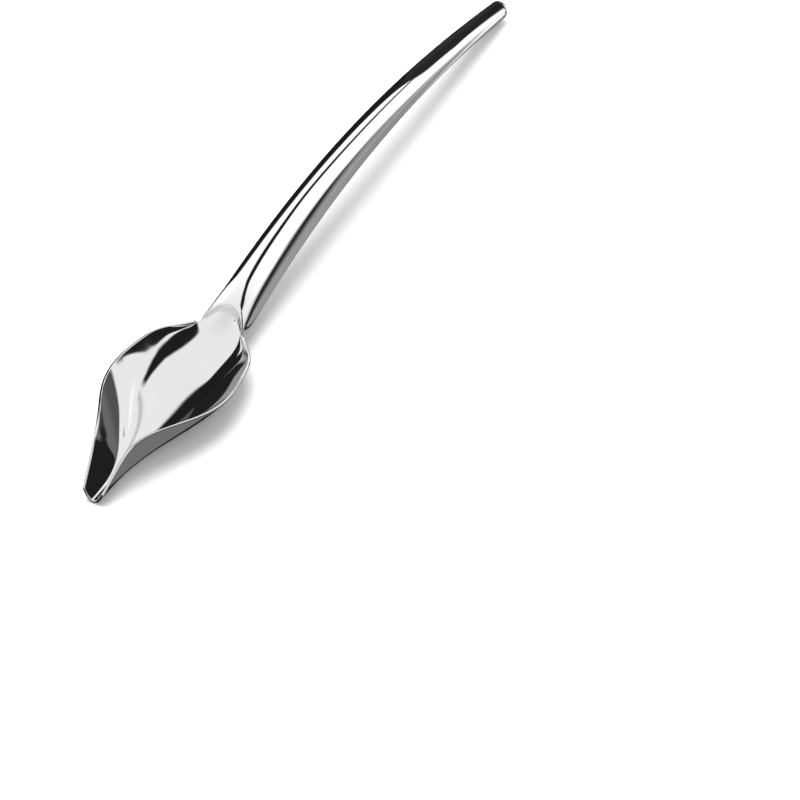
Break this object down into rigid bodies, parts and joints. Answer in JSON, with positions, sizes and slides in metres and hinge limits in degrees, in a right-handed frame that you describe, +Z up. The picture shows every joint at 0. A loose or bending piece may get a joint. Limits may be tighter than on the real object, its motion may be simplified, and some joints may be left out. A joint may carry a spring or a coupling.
{
  "type": "decorating spoon",
  "caption": "Slim drizzle spoon: a shallow pointed bowl drawn out into an open pour channel, on a hollow, arched, tapering round handle. Polished stainless steel.",
  "frame": {"origin": "on the table under the middle of the spoon's length and width", "axes": "+X along the spoon from the pour tip to the handle's end, +Y across it to the user's left when the handle points to the user's front, +Z up out of the open bowl"},
  "size_m": [0.2058, 0.0294, 0.017],
  "materials": {
    "polished_steel": "mirror-polished stainless steel with a very fine polishing grain",
    "back_steel": "polished stainless steel, slightly softer grain than the front",
    "cap_steel": "polished stainless steel turned to a low dome",
    "weld_steel": "weld metal ground flush and polished",
    "braze_metal": "polished silver braze, a trace warmer than the steel"
  },
  "bodies": {
    "root": {"bowl": "polished_steel", "neck_braze": "braze_metal", "handle_front_shell": "polished_steel", "handle_back_shell": "back_steel", "seam_weld_left": "weld_steel", "seam_weld_right": "weld_steel", "handle_end_cap": "cap_steel"}
  },
  "joints": []
}
